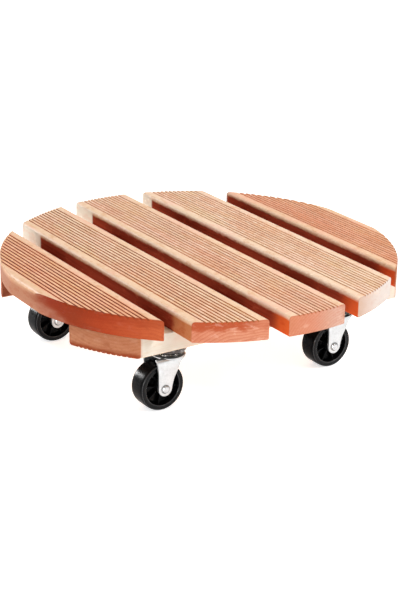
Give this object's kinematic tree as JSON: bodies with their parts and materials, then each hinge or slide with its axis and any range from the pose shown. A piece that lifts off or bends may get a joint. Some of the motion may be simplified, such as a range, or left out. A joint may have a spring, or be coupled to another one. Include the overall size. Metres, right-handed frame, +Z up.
{
  "type": "round timber plant pot caddy on swivel casters",
  "caption": "Low round deck of ribbed timber slats screwed across battens, standing on plate swivel casters, for rolling a heavy plant pot about.",
  "frame": {"origin": "on the floor, straight below the middle of the deck", "axes": "+Z up; the slats run along X and the battens along Y; +X is the front"},
  "size_m": [0.35, 0.3472, 0.095],
  "materials": {
    "slat_timber": "planed and ribbed pink-brown timber, thin clear oil, dry and matt",
    "batten_timber": "the same ribbed timber, a little paler on its long faces",
    "zinc_plate": "bright zinc-plated pressed steel",
    "rivet_steel": "zinc-plated rivet, satin",
    "ball_steel": "polished bearing balls with dark grease",
    "screw_steel": "zinc-plated wood screw",
    "wheel_plastic": "glossy moulded black plastic"
  },
  "bodies": {
    "root": {"slat_outer_left": "slat_timber", "slat_inner_left": "slat_timber", "slat_middle": "slat_timber", "slat_inner_right": "slat_timber", "slat_outer_right": "slat_timber", "batten_front": "batten_timber", "batten_rear": "batten_timber", "slat_screw_front_1": "screw_steel", "slat_screw_front_2": "screw_steel", "slat_screw_front_3": "screw_steel", "slat_screw_front_4": "screw_steel", "slat_screw_front_5": "screw_steel", "slat_screw_rear_1": "screw_steel", "slat_screw_rear_2": "screw_steel", "slat_screw_rear_3": "screw_steel", "slat_screw_rear_4": "screw_steel", "slat_screw_rear_5": "screw_steel", "front_left_caster_plate": "zinc_plate", "front_left_king_pin": "rivet_steel", "front_left_ball_ring": "ball_steel", "front_left_plate_screw_1": "screw_steel", "front_left_plate_screw_2": "screw_steel", "front_left_plate_screw_3": "screw_steel", "front_left_plate_screw_4": "screw_steel", "front_right_caster_plate": "zinc_plate", "front_right_king_pin": "rivet_steel", "front_right_ball_ring": "ball_steel", "front_right_plate_screw_1": "screw_steel", "front_right_plate_screw_2": "screw_steel", "front_right_plate_screw_3": "screw_steel", "front_right_plate_screw_4": "screw_steel", "rear_left_caster_plate": "zinc_plate", "rear_left_king_pin": "rivet_steel", "rear_left_ball_ring": "ball_steel", "rear_left_plate_screw_1": "screw_steel", "rear_left_plate_screw_2": "screw_steel", "rear_left_plate_screw_3": "screw_steel", "rear_left_plate_screw_4": "screw_steel", "rear_right_caster_plate": "zinc_plate", "rear_right_king_pin": "rivet_steel", "rear_right_ball_ring": "ball_steel", "rear_right_plate_screw_1": "screw_steel", "rear_right_plate_screw_2": "screw_steel", "rear_right_plate_screw_3": "screw_steel", "rear_right_plate_screw_4": "screw_steel"},
    "front_left_swivel": {"front_left_fork": "zinc_plate", "front_left_axle": "rivet_steel"},
    "front_left_roller": {"front_left_wheel": "wheel_plastic"},
    "front_right_swivel": {"front_right_fork": "zinc_plate", "front_right_axle": "rivet_steel"},
    "front_right_roller": {"front_right_wheel": "wheel_plastic"},
    "rear_left_swivel": {"rear_left_fork": "zinc_plate", "rear_left_axle": "rivet_steel"},
    "rear_left_roller": {"rear_left_wheel": "wheel_plastic"},
    "rear_right_swivel": {"rear_right_fork": "zinc_plate", "rear_right_axle": "rivet_steel"},
    "rear_right_roller": {"rear_right_wheel": "wheel_plastic"}
  },
  "joints": [
    {"name": "front_left_swivel_joint", "type": "hinge", "parent": "root", "child": "front_left_swivel", "pos_m": [0.088, -0.0875, 0.0472], "axis": [0, 0, 1], "continuous": true},
    {"name": "front_left_wheel_joint", "type": "hinge", "parent": "front_left_swivel", "child": "front_left_roller", "pos_m": [0.088, -0.0975, 0.0205], "axis": [1, 0, 0], "continuous": true},
    {"name": "front_right_swivel_joint", "type": "hinge", "parent": "root", "child": "front_right_swivel", "pos_m": [0.088, 0.0875, 0.0472], "axis": [0, 0, 1], "continuous": true},
    {"name": "front_right_wheel_joint", "type": "hinge", "parent": "front_right_swivel", "child": "front_right_roller", "pos_m": [0.088, 0.0775, 0.0205], "axis": [1, 0, 0], "continuous": true},
    {"name": "rear_left_swivel_joint", "type": "hinge", "parent": "root", "child": "rear_left_swivel", "pos_m": [-0.088, -0.0915, 0.0472], "axis": [0, 0, 1], "continuous": true},
    {"name": "rear_left_wheel_joint", "type": "hinge", "parent": "rear_left_swivel", "child": "rear_left_roller", "pos_m": [-0.088, -0.1015, 0.0205], "axis": [1, 0, 0], "continuous": true},
    {"name": "rear_right_swivel_joint", "type": "hinge", "parent": "root", "child": "rear_right_swivel", "pos_m": [-0.088, 0.0915, 0.0472], "axis": [0, 0, 1], "continuous": true},
    {"name": "rear_right_wheel_joint", "type": "hinge", "parent": "rear_right_swivel", "child": "rear_right_roller", "pos_m": [-0.088, 0.0815, 0.0205], "axis": [1, 0, 0], "continuous": true}
  ]
}
